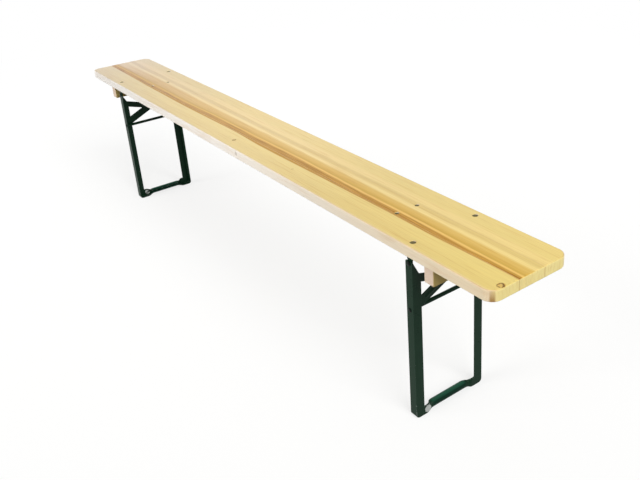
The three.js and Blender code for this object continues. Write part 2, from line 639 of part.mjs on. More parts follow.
function lockStay() {
  const start = [
    PIN_X + STAY_EYE_OFFSET * Math.sin(STAY_RISE), PIN_Z + STAY_EYE_OFFSET * Math.cos(STAY_RISE)];
  const tangent = STAY_BEND_RADIUS * Math.tan(STAY_RISE / 2);
  const centre = [STAY_BEND_X - tangent, STAY_END_Z - STAY_BEND_RADIUS];
  const bend = arcPoints(centre, STAY_BEND_RADIUS, Math.PI / 2 - STAY_RISE, Math.PI / 2);
  const centreline = [start, ...bend, [STAY_BEND_X - STAY_END_LENGTH, STAY_END_Z]];
  const side = STAY_WIDTH / 2;
  const strip = extrudeAcross(stripOutline(centreline, STEEL), -side, side);
  const eye = drillAcross(EYE_OUTER_RADIUS, PIN_X, PIN_Z, -side, side);
  const bore = drillAcross(EYE_BORE_RADIUS, PIN_X, PIN_Z, -side - OVERRUN, side + OVERRUN);
  const windowEdge = DIMPLE_X + DIMPLE_RADIUS + STAY_WINDOW_PLAY;
  const window = box([windowEdge - STAY_WINDOW_LENGTH, -STAY_WINDOW_WIDTH / 2, STAY_END_Z - STEEL],
    [windowEdge, STAY_WINDOW_WIDTH / 2, STAY_END_Z + STEEL]);
  return cut(join(strip, eye), bore, window);
}

// Stay keeper: a plate across the board's underside, two guide cheeks and the dimple the stay snaps over

function keeperCheek(side) {
  const low = KEEPER_X - KEEPER_WIDTH / 2;
  const high = KEEPER_X + KEEPER_WIDTH / 2;
  const foot = KEEPER_UNDERSIDE - KEEPER_CHEEK_DROP;
  const chamferTop = foot + KEEPER_CHEEK_CHAMFER;
  const outline = [[low, BOARD_UNDERSIDE], [low, chamferTop], [low + KEEPER_CHEEK_CHAMFER, foot],
    [high - KEEPER_CHEEK_CHAMFER, foot], [high, chamferTop], [high, BOARD_UNDERSIDE]];
  const inner = STAY_WIDTH / 2 + KEEPER_CHEEK_GAP;
  const start = side > 0 ? inner : -inner - KEEPER_SHEET;
  return extrudeAcross(outline, start, start + KEEPER_SHEET);
}

function stayKeeper() {
  const plate = box([KEEPER_X - KEEPER_WIDTH / 2, -KEEPER_LENGTH / 2, KEEPER_UNDERSIDE],
    [KEEPER_X + KEEPER_WIDTH / 2, KEEPER_LENGTH / 2, BOARD_UNDERSIDE]);
  const rootZ = KEEPER_UNDERSIDE + KEEPER_SHEET / 2;
  const dome = arcPoints([0, 0], 1, -Math.PI / 2, 0, DOME_STEPS).map(([across, up]) =>
    [DIMPLE_RADIUS * across, KEEPER_UNDERSIDE + DIMPLE_HEIGHT * up]);
  const dimple = turnedUpright([...dome, [DIMPLE_RADIUS, rootZ], [0, rootZ]], DIMPLE_X, 0);
  const holes = [-1, 1].map((side) => drillUpright(BOLT_RADIUS + FIT_GAP, KEEPER_X, side * KEEPER_BOLT_Y,
    KEEPER_UNDERSIDE - OVERRUN, BOARD_UNDERSIDE + OVERRUN));
  return cut(join(plate, keeperCheek(1), keeperCheek(-1), dimple), ...holes);
}

function keeperPieces(nameOf) {
  const tail = KEEPER_UNDERSIDE - NUT_HEIGHT - BOLT_TAIL;
  const fasteners = [-1, 1].flatMap((side) => {
    const y = side * KEEPER_BOLT_Y;
    return [piece(nameOf('keeper_bolt', y), boardBolt(KEEPER_X, y, KEEPER_BOLT_HEAD_RADIUS, tail), DARK_BOLT),
      piece(nameOf('keeper_nut', y), hexNut(KEEPER_X, y, KEEPER_UNDERSIDE), ZINC)];
  });
  return [piece(nameOf('stay_keeper'), stayKeeper(), ZINC), ...fasteners];
}

function legPieces(nameOf) {
  return [
    piece(nameOf('leg_frame'), legFrame(), GREEN_COAT),
    piece(nameOf('cross_plate'), crossPlate(), GREEN_COAT),
    piece(nameOf('tie_rod'), tieRod(), GREEN_COAT),
    piece(nameOf('stay_pin'), stayPin(), ZINC),
    piece(nameOf('lock_stay'), lockStay(), ZINC),
  ];
}

// The bench: the seat, and the same fittings at both ends, turned half round at the left

function rowName(y) {
  if (y === 0) return 'middle';
  return y < 0 ? 'front' : 'rear';
}

function endGroup(end, sign) {
  const nameOf = (label, y) => (y === undefined ? `${label}_${end}` : `${label}_${end}_${rowName(sign * y)}`);
  const group = new THREE.Group();
  group.add(...battenPieces(nameOf), ...bracketPieces(nameOf), ...keeperPieces(nameOf), ...legPieces(nameOf));
  group.rotation.z = sign > 0 ? 0 : Math.PI;
  return group;
}

const bench = new THREE.Group();
bench.add(...plankPieces(), endGroup('right', 1), endGroup('left', -1));

export default bench;
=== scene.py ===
"""A folding bench: three lacquered spruce planks on two green steel leg frames that fold under the seat.

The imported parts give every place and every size. This file gives them their finished look.
X runs along the bench, Y across it with the front at -Y, and Z up from the floor, all in metres.
"""

import json
import math
from functools import partial

import bmesh
import bpy
from bpy.props import FloatProperty, FloatVectorProperty, IntProperty, PointerProperty
from mathutils import Matrix, Vector


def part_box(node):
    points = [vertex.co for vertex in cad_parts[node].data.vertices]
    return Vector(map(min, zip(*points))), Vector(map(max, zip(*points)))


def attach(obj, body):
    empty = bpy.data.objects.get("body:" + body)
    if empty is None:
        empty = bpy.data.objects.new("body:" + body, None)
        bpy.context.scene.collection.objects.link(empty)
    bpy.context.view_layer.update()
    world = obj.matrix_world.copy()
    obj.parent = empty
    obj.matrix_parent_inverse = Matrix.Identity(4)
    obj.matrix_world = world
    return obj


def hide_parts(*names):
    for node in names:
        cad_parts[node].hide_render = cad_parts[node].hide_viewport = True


bl_info = {
    "name": "Folding Bench",
    "version": (1, 0, 0),
    "blender": (4, 5, 0),
    "location": "View3D > Sidebar > Folding Bench",
    "description": "Dresses the packed parts of a folding bench in lacquered wood and coated steel",
    "category": "Add Mesh",
}

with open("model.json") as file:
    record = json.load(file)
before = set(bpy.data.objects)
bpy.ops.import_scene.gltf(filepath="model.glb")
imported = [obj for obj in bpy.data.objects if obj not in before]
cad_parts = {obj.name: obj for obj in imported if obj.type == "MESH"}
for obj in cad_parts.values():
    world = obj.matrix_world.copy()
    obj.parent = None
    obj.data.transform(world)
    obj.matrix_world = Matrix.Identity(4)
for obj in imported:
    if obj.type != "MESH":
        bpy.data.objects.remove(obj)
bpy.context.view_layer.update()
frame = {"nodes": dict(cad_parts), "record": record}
BODY_OF = {
    node: body
    for body, nodes in frame["record"]["behaviour"]["bodies"].items()
    for node in nodes
}

MM = 0.001
IMAGE_WIDTH, IMAGE_HEIGHT = 640, 480
SENSOR_WIDTH = 36

# One period of a ring pattern is this many metres wide at scale 1
RING_PERIOD = math.pi / 10

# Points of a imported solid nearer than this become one, and faces that turn less are one flat face
SHORTEST_EDGE = 0.05 * MM
FLAT_ANGLE = math.radians(0.4)

# An edge is rounded if its faces turn more than the sharp angle, if it is at least this many times as
# long as the rounding, and if the edges beside it are at least this many times as long. An edge that
# turns more than the crease angle stays a crease
SHARP_ANGLE = math.radians(40)
LEAST_LENGTH, LEAST_SIDE = 0.5, 2.1
CREASE_ANGLE = math.radians(50)

# Thin sheet is rounded by this share of the sheet rounding
THIN_SHEET = 0.6


def linear(code):
    """Turns an sRGB hex colour into the linear colour that Blender's sockets hold."""
    parts = [(code >> shift & 255) / 255 for shift in (16, 8, 0)]
    return tuple(p / 12.92 if p <= 0.04045 else ((p + 0.055) / 1.055) ** 2.4 for p in parts)


def colour(name, description, code):
    return FloatVectorProperty(
        name=name, description=description, subtype="COLOR", size=3, min=0, max=1, default=linear(code)
    )


def length(name, description, metres):
    return FloatProperty(
        name=name, description=description, subtype="DISTANCE", unit="LENGTH", min=0, precision=5,
        default=metres,
    )


def share(name, description, value):
    return FloatProperty(name=name, description=description, subtype="FACTOR", min=0, max=1, default=value)


def angle(name, description, degrees):
    return FloatProperty(name=name, description=description, subtype="ANGLE", default=math.radians(degrees))


class SeatSettings(bpy.types.PropertyGroup):
    """Sizes and colours of the wooden pieces."""

    pale_wood: colour("Pale wood", "Sapwood of the front plank", 0xEED68C)
    soft_wood: colour("Soft wood", "Slightly duller strip near the front edge", 0xE9D088)
    cream_wood: colour("Cream wood", "Light band of the rear plank", 0xF4DA98)
    rear_wood: colour("Rear wood", "Sapwood of the rear plank", 0xEED690)
    light_wood: colour("Light wood", "Lightest band of the middle plank", 0xF7DE9B)
    dull_wood: colour("Dull wood", "Dull band along the rear joint", 0xE6CB87)
    straw_wood: colour("Straw wood", "Straw tone along the seat's middle", 0xE4BF6B)
    gold_wood: colour("Gold wood", "Golden band beside the heartwood", 0xDEB75E)
    tan_wood: colour("Tan wood", "Tan edge of the golden band", 0xD4AC52)
    amber_wood: colour("Amber wood", "Light band in the heartwood", 0xF3C974)
    brown_wood: colour("Brown wood", "Heartwood along the front joint", 0xC39337)
    dark_wood: colour("Dark wood", "Darkest streak in the heartwood", 0xBC8A30)
    heart_line: colour("Heart line", "Darkest thin lines in the heartwood", 0x8F5A14)
    amber_line: colour("Amber line", "Lightest thin lines in the heartwood", 0xE2AC58)
    faded_heart: colour("Faded heart", "Heartwood faded towards the far end", 0xD3AA45)
    # Painted shade down the near front corner
    resin: colour("Resin", "Resin run down the near front corner", 0xA8814A)
    knot_wood: colour("Knot wood", "Dark rim of a knot", 0x6C4A18)
    # Painted reflection: a bluish haze of reflected light added towards the far end
    bloom: colour("Bloom", "Milky blue haze in the lacquer towards the far end", 0x003E8A)
    honey_tint: colour("Honey tint", "Warmth of the near end", 0xFFFFEC)
    late_tint: colour("Late wood tint", "How the rings' dark lines tint the wood", 0xDDBE93)
    edge_wood: colour("Edge wood", "Planed long edges of the seat", 0xEAD9BC)
    # Painted glare: whitens the long edges towards the far end
    bleached_edge: colour("Bleached edge", "Long edges where the sun has bleached them", 0xFDF8F2)
    # Painted shade on the top's strip behind the front edge, towards the far end
    edge_shade: colour("Edge shade", "How handling dulls the top just behind the front edge", 0xEFF3F9)
    end_wood: colour("End wood", "Sawn end grain of the planks", 0xFFEFA6)
    batten_wood: colour("Batten wood", "Sawn ends of the cross battens", 0xEBD7C4)
    batten_tint: colour("Batten tint", "Warmer tint of the battens' long sides", 0xDAD595)
    ring_width: length("Ring width", "Width of one year's growth", 3.2 * MM)
    edge_rounding: length("Edge rounding", "Softening of the glue joints and bolt holes", 0.4 * MM)
    batten_rounding: length("Batten rounding", "Softening of the battens' edges", 0.6 * MM)
    gloss: share("Lacquer roughness", "Roughness of the clear lacquer", 0.32)


class SteelSettings(bpy.types.PropertyGroup):
    """Sizes and colours of the steel pieces."""

    coat_green: colour("Coat", "Fir green powder coat", 0x102D1D)
    # Partly the coat's thin spots, partly a painted glint along the edges
    coat_thin: colour("Thin coat", "Coat where it runs thin over an edge", 0x2C4236)
    # Painted highlight on the foot bars' upper side
    coat_rubbed: colour("Rubbed coat", "Upper side of the foot bars, rubbed by boots", 0x23523F)
    # Painted shade on the foot bars' underside
    coat_deep: colour("Deep coat", "Underside of the foot bars", 0x04291B)
    grease: colour("Grease", "Grease and grime round the rivets", 0x060A08)
    bare_steel: colour("Bare steel", "Steel where the coat is worn off", 0xB7BBB8)
    zinc: colour("Zinc", "Zinc plating of the nuts, stays and keepers", 0xB4B7B2)
    zinc_dull: colour("Dull zinc", "Clouded zinc", 0x8C8F88)
    zinc_bright: colour("Bright zinc", "Zinc rubbed bright along its edges", 0xD2D3CE)
    bolt_steel: colour("Bolt steel", "Dulled heads of the bolts in the seat", 0x6C643A)
    tarnish: colour("Tarnish", "Dark spots on the bolts' heads", 0x453A20)
    sheet_rounding: length("Sheet rounding", "Softening of the cut and pressed steel edges", 0.5 * MM)
    frame_rounding: length("Frame rounding", "Softening of the leg frames' edges", 0.5 * MM)
    shank_radius: length("Shank radius", "Radius of the bolts and rivets through their holes", 3 * MM)
    bolt_head_height: length("Bolt head height", "Height of the domed bolt heads", 2.4 * MM)
    nut_width: length("Nut width", "Width of the nuts across their flats", 10 * MM)
    facets: IntProperty(name="Facets", description="Facets round a turned piece", min=12, max=96, default=48)
    wear: share("Wear", "How far the coat has worn off along the edges", 0.45)


class StageSettings(bpy.types.PropertyGroup):
    """The camera, the lamps and the floor."""

    azimuth: angle("Azimuth", "Turn of the camera round the bench", 53.11)
    elevation: angle("Elevation", "Camera's angle above the seat", 24.28)
    roll: angle("Roll", "Lean of the camera", -2.89)
    distance: length("Distance", "From the camera to its target", 2062.71 * MM)
    target: FloatVectorProperty(
        name="Target", description="Point at the lens's centre", subtype="XYZ", unit="LENGTH",
        default=(0.49689, 0.08335, 0.455),
    )
    focal_pixels: FloatProperty(
        name="Focal length", description="In pixels of the picture", min=100, default=784.61
    )
    centre_pixels: FloatVectorProperty(
        name="Lens centre", description="Pixel that the lens looks at", size=2, default=(380, 180)
    )
    wall_light: share("Wall light", "Even light from the walls", 0.26)
    ceiling_light: share("Ceiling light", "Even light from above", 0.48)
    key: FloatProperty(name="Key lamp", description="Soft lamp at the front left", min=0, default=1.7)
    fill: FloatProperty(name="Fill lamp", description="Soft lamp high at the right", min=0, default=1.9)
    floor: colour("Floor", "Matt white floor", 0xF7F7F5)
    floor_bounce: colour("Floor bounce", "What the floor throws back at the bench", 0x9A9A98)
    floor_radius: length("Floor radius", "Reach of the floor", 14.0)


def add_node(tree, kind, inputs=(), operation=None, stops=(), **fields):
    """Adds a node. Its inputs go by name, or as a list in the node's own order.

    That order for Map Range is the value, the two ends of its range, and what it becomes there.
    An input is a number, a colour, an output, or a node, whose first live output it takes.
    """
    node = tree.nodes.new("ShaderNode" + kind)
    if operation:
        node.operation = operation
    for field, value in fields.items():
        setattr(node, field, value)
    for key, value in inputs.items() if isinstance(inputs, dict) else enumerate(inputs):
        socket = node.inputs[key] if isinstance(key, int) else next(
            found for found in node.inputs if found.enabled and found.name == key
        )
        if isinstance(value, bpy.types.Node):
            value = next(found for found in value.outputs if found.enabled)
        if isinstance(value, bpy.types.NodeSocket):
            tree.links.new(value, socket)
        else:
            socket.default_value = (*value, 1) if socket.type == "RGBA" and len(value) == 3 else value
    for i, (position, tone) in enumerate(stops):
        elements = node.color_ramp.elements
        element = elements[i] if i < 2 else elements.new(position)
        element.position = position
        element.color = (*tone, 1)
    return node


def new_material(name):
    """An empty node material, what adds a node to it, and a surface point's place and normal."""
    material = bpy.data.materials.new(name)
    material.use_nodes = True
    material.node_tree.nodes.clear()
    add = partial(add_node, material.node_tree)
    own = add("TexCoord").outputs
    return material, add, own["Object"], own["Normal"]


def layered(add, body, layers):
    """The body's tone under its layers, each with its masks, its tone and, if it isn't plain, its blend.

    A layer shows as much as its masks do together.
    """
    for (shown, *masks), tone, *blend in layers:
        for mask in masks:
            shown = add("Math", (shown, mask), "MULTIPLY")
        blend_type = blend[0] if blend else "MIX"
        body = add("Mix", {"Factor": shown, "A": body, "B": tone}, data_type="RGBA", blend_type=blend_type)
    return body


def drawn_out(add, point, stretch, scale, detail=2, roughness=0.5, **fields):
    """Noise drawn out along the grain, or along the way that a sheet was drawn."""
    stretched = add("Mapping", {"Vector": point, "Scale": stretch})
    inputs = {"Vector": stretched, "Scale": scale, "Detail": detail, "Roughness": roughness}
    return add("TexNoise", inputs, **fields)


def with_surface(material, add, relief, strength, depth, surface):
    """Gives a material its relief and the shader that its inputs describe, and hands it back."""
    bump = add("Bump", {"Strength": strength, "Distance": depth, "Height": relief})
    add("OutputMaterial", {"Surface": add("BsdfPrincipled", {"Normal": bump, **surface})})
    return material


# Bands across the seat, as the distance in millimetres from its middle and the tone of wood there
FRONT_BANDS = ((-115, "pale"), (-102, "soft"), (-85, "soft"), (-65, "pale"), (-38, "pale"))
MIDDLE_BANDS = (
    (-48, "brown"), (-35, "brown"), (-32, "dark"), (-25.5, "dark"), (-23, "brown"),
    (-19.5, "amber"), (-16, "amber"), (-13.5, "tan"), (-10, "tan"), (-4, "gold"),
    (6, "straw"), (12, "straw"), (21, "light"), (25, "light"), (33, "dull"),
    (43, "dull"), (51, "cream"),
)
REAR_BANDS = (
    (28, "dull"), (43, "dull"), (51, "cream"), (62, "cream"), (75, "rear"),
    (115, "rear"),
)

# What changes from end to end, as a place along the bench in millimetres and the value there:
# how far the heartwood wanders to the front (-) or the rear (+) in millimetres,
# how far it comes through the front joint in millimetres, the level of the wood's tone, and how
# strong the painted haze of reflected light is
HEART_WANDER = (
    (-1100, -3), (-850, -3), (-600, -4), (-400, -4.5), (-200, 1), (-50, 0), (100, 1.5), (250, 3), (400, 1),
    (550, -0.5), (700, -0.5), (850, -2.5), (1000, -5), (1100, -6),
)
JOINT_STAIN = (
    (-1100, 0), (-850, 3), (-740, 5.5), (-600, 7), (-400, 8.5), (-200, 6), (-50, 4.5), (100, 9.5), (250, 8.5),
    (400, 6.5), (550, 5.5), (700, 4), (850, 5), (1000, 2), (1100, 1.5),
)
TONE_LEVEL = (
    (-1100, 0.9), (-850, 0.93), (-400, 1.01), (-50, 1.06), (250, 1.045), (550, 1.0), (1000, 1.04),
    (1100, 1.05),
)
PAINTED_HAZE = ((-1100, 0.9), (-850, 0.57), (-400, 0.3), (-50, 0.2), (250, 0.11), (550, 0), (1100, 0))

# The rear bands run slightly askew, in millimetres to the front for each millimetre along the bench
REAR_SLANT = 0.007
FRONT_JOINT = -38 * MM

# Knots: x, y, radius in millimetres, and how strongly each shows
KNOTS = ((1090.5, -80, 8.5, 1.0), (4, -79, 6, 0.8), (312, -70, 3.5, 0.3))

# A knot comes out here through the front edge, and painted shade runs down the near front corner, in metres
EDGE_KNOT = (0.078, -0.115, 0.464)
SHADED_CORNER = (1.0935, -0.1065, 0)

# The rings' pith, from the middle of the seat to the rear and from the floor up, or for the battens
# from the middle along the bench
FRONT_PITH, MIDDLE_PITH, REAR_PITH, BATTEN_PITH = (-0.30, 0.22), (0.16, 0.30), (0.34, 0.24), (0.93, 0.33)

# The rings waver along a board only this much as fast as they do across it
RING_STRETCH = 0.03

# The coat has flaked off here, at the front end of each foot bar's round, and the bare patch also serves as a
# painted glint. The round's painted highlight and shade fade out between these distances from the bench's
# middle line, and between these heights
FLAKED_GLINT_SPOT = (0.852, -0.072, 0.0125)
ROUND_ENDS = (50 * MM, 60 * MM)
ROUND_TOP = (26 * MM, 30 * MM)


def along_bench(add, place, stops):
    """A value that changes smoothly from end to end of the bench."""
    first, last = stops[0][0], stops[-1][0]
    values = [value for _, value in stops]
    least, most = min(values), max(values)
    along = add("MapRange", (place["X"], first * MM, last * MM))
    shares = [((at - first) / (last - first), [(value - least) / (most - least)] * 3) for at, value in stops]
    ramp = add("ValToRGB", [along], stops=shares)
    ramp.color_ramp.interpolation = "CARDINAL"
    return add("MapRange", (ramp, 0, 1, least, most))


def wandering_grain(add, point, place):
    """The place across the grain, with the grain's slow bends, its ripples and the bands' own wander."""
    # The bends are 0.7 m long and the ripples 60 mm
    side = place["Y"]
    for stretch, scale, reach in ((0.12, 12, 3 * MM), (0.25, 65, 0.8 * MM)):
        waves = drawn_out(add, point, (stretch, 1, 1), scale, normalize=False)
        side = add("Math", (waves, reach, side), "MULTIPLY_ADD")
    heart = add("Math", (along_bench(add, place, HEART_WANDER), MM), "MULTIPLY")
    slanted = add("Math", (place["X"], -REAR_SLANT), "MULTIPLY")
    behind = add("MapRange", (place["Y"], -8 * MM, 12 * MM))
    shift = add("Mix", {"Factor": behind, "A": heart, "B": slanted})
    return add("Math", (side, shift), "SUBTRACT")


def knotted_grain(add, point, side):
    """The grain pushed round the knots, how deep in a knot a point is, and how strongly the knot shows."""
    nearest, strongest = None, None
    for x, y, radius, strength in KNOTS:
        away = add("VectorMath", (point, (x * MM, y * MM, 0)), "SUBTRACT")
        oval = add("VectorMath", (away, (1.15, 1, 0)), "MULTIPLY")
        reach = add("VectorMath", [oval], "LENGTH")
        depth = add("Math", (reach, radius * MM), "DIVIDE")
        push = add("MapRange", (depth, 0.6, 4, 0.75 * radius * MM, 0), interpolation_type="SMOOTHSTEP")
        behind = add("Math", [add("SeparateXYZ", [away]).outputs["Y"]], "SIGN")
        aside = add("Math", (push, behind), "MULTIPLY")
        side = add("Math", (side, aside), "SUBTRACT")
        shown = add("MapRange", (depth, 1.0, 1.3, strength, 0))
        nearest = add("Math", (nearest, depth), "MINIMUM") if nearest else depth
        strongest = add("Math", (strongest, shown), "MAXIMUM") if strongest else shown
    return side, nearest, strongest


def stained_joint(add, place):
    """Masks for where heartwood comes through the front joint into the front plank."""
    through = add("Math", (along_bench(add, place, JOINT_STAIN), MM), "MULTIPLY")
    reached = add("Math", (place["Y"], through), "ADD")
    stained = add("MapRange", (reached, FRONT_JOINT - 1 * MM, FRONT_JOINT + 1 * MM))
    return stained, add("Math", (place["Y"], FRONT_JOINT), "LESS_THAN")


def growth_rings(add, look, place, side, pith):
    """Rings round a pith that lies off the board: 0 in pale early wood, rising to 1 in dark late wood."""
    along = add("Math", (place["X"], RING_STRETCH), "MULTIPLY")
    from_pith = add("Math", (side, pith[0]), "SUBTRACT")
    over_pith = add("Math", (place["Z"], pith[1]), "SUBTRACT")
    ring_place = add("CombineXYZ", (along, from_pith, over_pith))
    rings = add(
        "TexWave",
        {"Vector": ring_place, "Scale": RING_PERIOD / look.ring_width, "Distortion": 4.5, "Detail": 2,
         "Detail Scale": 0.35},
        wave_type="RINGS", rings_direction="X", wave_profile="SAW",
    )
    return add("Math", (rings.outputs["Fac"], 2.5), "POWER")


def banded_tone(add, look, bands, side):
    """The tones of the bands across the grain."""
    low, high = bands[0][0], bands[-1][0]
    across = add("MapRange", (side, low * MM, high * MM))
    stops = [((at - low) / (high - low), getattr(look, tone + "_wood")) for at, tone in bands]
    return add("ValToRGB", [across], stops=stops)


def heartwood_layers(add, look, place, side, grain_place):
    """What the middle plank shows besides its bands."""
    # The heartwood has faded towards the far end
    faded = add("MapRange", (place["X"], 0.6, -0.4, 0, 0.55))
    in_heart = add("MapRange", (side, -9 * MM, -14 * MM))

    # Fine lines run through it, drawn 2.5 mm wide, coarser than the real ones, to show at this size
    lines = drawn_out(add, grain_place, (0.012, 1, 0.2), 400, detail=3, roughness=0.65)
    line_tones = [(0.4, look.heart_line), (0.5, look.brown_wood), (0.6, look.amber_line)]
    line_tone = add("ValToRGB", [lines], stops=line_tones)
    lined = add("MapRange", (side, -19 * MM, -23 * MM, 0, 0.65))

    # Behind it, the wood turns creamy over the last 300 mm at the far end
    creamy = add("MapRange", (place["X"], -0.8, -1.05, 0, 0.6))
    past_heart = add("MapRange", (side, -9 * MM, -2 * MM))
    return [
        ((faded, in_heart), look.faded_heart),
        ([lined], line_tone),
        ((creamy, past_heart), look.cream_wood),
    ]


def lacquer_layers(add, look, place, side, bands):
    """The painted haze of reflected light towards the far end, the near end's honey, and the heartwood's stain
    across the front joint.
    """
    # Painted reflection: a bluish haze added towards the far end
    hazed = [along_bench(add, place, PAINTED_HAZE)]
    if bands is MIDDLE_BANDS:
        # It shows less over the heartwood
        hazed.append(add("MapRange", (side, -5 * MM, -13 * MM, 1, 0.45)))
    warmed = add("MapRange", (place["X"], 0.5, 1.1))
    return [
        (hazed, look.bloom, "ADD"),
        ([warmed], look.honey_tint, "MULTIPLY"),
        (stained_joint(add, place), look.brown_wood),
    ]


def edge_layers(add, look, place, faces):
    """The long edges, whitened by painted glare most at the far end, and how they turn into the top."""
    # Painted glare whitens the long edges towards the far end
    far_glare_share = add("MapRange", (place["X"], 1.0, -0.1))
    edge_tone = layered(add, look.edge_wood, [([far_glare_share], look.bleached_edge)])
    edge_facing = add("Math", [faces["Y"]], "ABSOLUTE")
    edge_share = add("MapRange", (edge_facing, 0.12, 0.5, 0, 0.95))

    # The top's first 9 mm behind the front edge carry a painted highlight at the near end and painted shade at
    # the far end
    strip = add("MapRange", (place["Y"], -113.5 * MM, -106 * MM, 1, 0))
    on_top = add("Math", (strip, faces["Z"]), "MULTIPLY", use_clamp=True)
    near_highlight_share = add("MapRange", (far_glare_share, 0, 1, 0.4, 0))

    # Painted shade: the arris is darker where the top turns into the edge
    turning = add("MapRange", (edge_facing, 0.05, 0.25))
    not_yet_edge = add("MapRange", (edge_facing, 0.6, 0.97, 0.42, 0))
    return [
        ([edge_share], edge_tone),
        ((on_top, near_highlight_share), look.edge_wood),
        ((on_top, far_glare_share), look.edge_shade, "MULTIPLY"),
        ((turning, not_yet_edge), look.late_tint, "MULTIPLY"),
    ]


def end_layers(add, look, place, end_share):
    """The yellower sawn ends, with browned glue in their joints."""
    from_middle = add("Math", [place["Y"]], "ABSOLUTE")
    past_joint = add("Math", (from_middle, -FRONT_JOINT), "SUBTRACT")
    off_joint = add("Math", [past_joint], "ABSOLUTE")
    glue = add("MapRange", (off_joint, 0.4 * MM, 1.4 * MM, 0.6, 0))
    return [([end_share], look.end_wood), ((glue, end_share), look.brown_wood)]


def spot_layers(add, look, point, place, faces):
    """The knot in the front edge, and painted shade down the near front corner, strongest lower down."""
    flat_point = add("VectorMath", (point, (1, 1, 0)), "MULTIPLY")
    spots = []
    for here, centre, strength in ((point, EDGE_KNOT, 0.34), (flat_point, SHADED_CORNER, 0.95)):
        reach = add("VectorMath", (here, centre), "DISTANCE")
        spots.append(add("MapRange", (reach, 3 * MM, 9 * MM, strength, 0), interpolation_type="SMOOTHSTEP"))
    knot, resin = spots
    upright = add("MapRange", (faces["Z"], 0.3, 0.7, 1, 0))
    # The painted shade grows stronger lower down the corner
    further_down = add("MapRange", (place["Z"], 472 * MM, 452 * MM, 0.35, 1))
    return [([knot], look.knot_wood), ((resin, further_down, upright), look.resin)]


def lacquered_spruce(name, look, bands, pith):
    """Spruce, planed and sanded, and clear lacquered.

    The eye sees close straight rings, a little wavy, that turn into arcs on the end grain, with
    broad bands of darker heartwood. The lacquer gives a soft even gloss over a fine raised grain.
    """
    material, add, point, normal = new_material(name)
    place = add("SeparateXYZ", [point]).outputs
    faces = add("SeparateXYZ", [normal]).outputs
    straight = wandering_grain(add, point, place)
    side, knot_depth, knot_share = knotted_grain(add, point, straight)
    late = growth_rings(add, look, place, side, pith)

    # Fibres are drawn 1.2 mm wide, coarser than the real ones, to show at this size. The wood is
    # paler or darker in patches 110 mm wide
    fibres = drawn_out(add, point, (0.02, 1, 1), 850, detail=3)
    patches = drawn_out(add, point, (0.35, 1, 1), 9)

    # Streaks of late wood, 3 to 6 mm wide and 170 mm long, follow the grain
    grain_place = add("CombineXYZ", (place["X"], side, place["Z"]))
    streaks = drawn_out(add, grain_place, (0.03, 1, 0.2), 190, detail=3, roughness=0.6)
    streaked = add("MapRange", (streaks, 0.52, 0.7, 0, 0.3))

    # Late wood darkens the tone, more on the end grain, and more in some patches than in others
    end_facing = add("Math", [faces["X"]], "ABSOLUTE")
    end_share = add("MapRange", (end_facing, 0.6, 0.9, 0, 0.85))
    contrast = add("MapRange", (patches, 0.35, 0.65, 0.1, 0.32))
    on_end = add("Math", (end_share, 0.15, contrast), "MULTIPLY_ADD")
    late_share = add("Math", (late, on_end, streaked), "MULTIPLY_ADD")
    level = add("MapRange", (fibres, 0.3, 0.7, 0.955, 1.045))
    for other in (add("MapRange", (patches, 0.3, 0.7, 0.98, 1.02)), along_bench(add, place, TONE_LEVEL)):
        level = add("Math", (level, other), "MULTIPLY")

    # A knot has a brown heart, a straw middle and a dark rim, which waver every 6 mm
    broken = add("TexNoise", {"Vector": point, "Scale": 170, "Detail": 3}, normalize=False)
    knot_reach = add("Math", (broken, 0.55, knot_depth), "MULTIPLY_ADD")
    knot_place = add("Math", (knot_reach, 0.8), "MULTIPLY")
    knot_tones = [
        (0.0, look.brown_wood), (0.2, look.gold_wood), (0.5, look.straw_wood), (0.64, look.knot_wood),
        (0.78, look.knot_wood), (0.9, look.brown_wood), (1.0, look.gold_wood),
    ]
    knot = add("ValToRGB", [knot_place], stops=knot_tones)

    # Dirt darkens the softened edges of the joints and the bolt holes
    edge = add("Attribute", attribute_name="edge_wear").outputs["Fac"]

    layers = heartwood_layers(add, look, place, side, grain_place) if bands is MIDDLE_BANDS else []
    layers += lacquer_layers(add, look, place, side, bands)
    layers += edge_layers(add, look, place, faces)
    layers += end_layers(add, look, place, end_share)
    layers += spot_layers(add, look, point, place, faces)
    layers += [
        ([late_share], look.late_tint, "MULTIPLY"),
        ([1.0], level, "MULTIPLY"),
        ([knot_share], knot),
        ((edge, 0.4), look.dark_wood),
    ]
    relief = add("Math", (late, 0.5, fibres), "MULTIPLY_ADD")
    return with_surface(material, add, relief, 0.25, 0.15 * MM, {
        "Base Color": layered(add, banded_tone(add, look, bands, side), layers),
        "Roughness": add("MapRange", (fibres, 0.3, 0.7, look.gloss - 0.05, look.gloss + 0.07)),
        "Specular IOR Level": 0.1, "Coat Weight": 0.1, "Coat Roughness": 0.1,
    })


